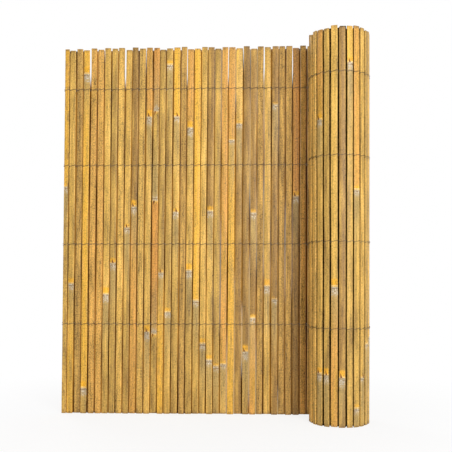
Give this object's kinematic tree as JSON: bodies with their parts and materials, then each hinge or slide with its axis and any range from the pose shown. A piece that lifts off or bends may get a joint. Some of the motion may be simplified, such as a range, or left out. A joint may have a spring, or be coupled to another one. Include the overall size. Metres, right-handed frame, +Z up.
{
  "type": "split bamboo fence",
  "caption": "Split bamboo fence of upright slats bound with rows of twisted wire: a flat panel, with the rest of its length wound up as a roll at one end, standing on the slats' ends.",
  "frame": {"origin": "middle of the footprint, on the floor the slats stand on", "axes": "+Z up along the slats, +X along the panel towards the roll, front of the panel towards -Y, with the roll in front of it"},
  "size_m": [0.827, 0.1619, 1],
  "materials": {
    "bamboo_straw": "split bamboo, bare",
    "bamboo_gold": "split bamboo, bare",
    "bamboo_tan": "split bamboo, bare",
    "bamboo_khaki": "split bamboo, bare",
    "bamboo_brown": "split bamboo, bare",
    "bamboo_pale": "split bamboo, bare",
    "wire": "dull drawn wire"
  },
  "bodies": {
    "root": {"slat_01": "bamboo_gold", "slat_02": "bamboo_straw", "slat_03": "bamboo_khaki", "slat_04": "bamboo_gold", "slat_05": "bamboo_tan", "slat_06": "bamboo_tan", "slat_07": "bamboo_straw", "slat_08": "bamboo_khaki", "slat_09": "bamboo_pale", "slat_10": "bamboo_khaki", "slat_11": "bamboo_tan", "slat_12": "bamboo_straw", "slat_13": "bamboo_straw", "slat_14": "bamboo_straw", "slat_15": "bamboo_khaki", "slat_16": "bamboo_khaki", "slat_17": "bamboo_gold", "slat_18": "bamboo_brown", "slat_19": "bamboo_straw", "slat_20": "bamboo_gold", "slat_21": "bamboo_straw", "slat_22": "bamboo_khaki", "slat_23": "bamboo_khaki", "slat_24": "bamboo_tan", "slat_25": "bamboo_gold", "slat_26": "bamboo_khaki", "slat_27": "bamboo_brown", "slat_28": "bamboo_khaki", "slat_29": "bamboo_khaki", "slat_30": "bamboo_straw", "slat_31": "bamboo_brown", "slat_32": "bamboo_brown", "slat_33": "bamboo_tan", "slat_34": "bamboo_tan", "slat_35": "bamboo_tan", "slat_36": "bamboo_khaki", "slat_37": "bamboo_straw", "slat_38": "bamboo_tan", "slat_39": "bamboo_straw", "roll_turn_1": "bamboo_straw", "roll_turn_2": "bamboo_tan", "roll_turn_3": "bamboo_khaki", "roll_turn_4": "bamboo_straw", "roll_turn_5": "bamboo_khaki", "roll_turn_6": "bamboo_tan", "binding_wire_1a": "wire", "binding_wire_1b": "wire", "binding_wire_2a": "wire", "binding_wire_2b": "wire", "binding_wire_3a": "wire", "binding_wire_3b": "wire", "binding_wire_4a": "wire", "binding_wire_4b": "wire"}
  },
  "joints": []
}
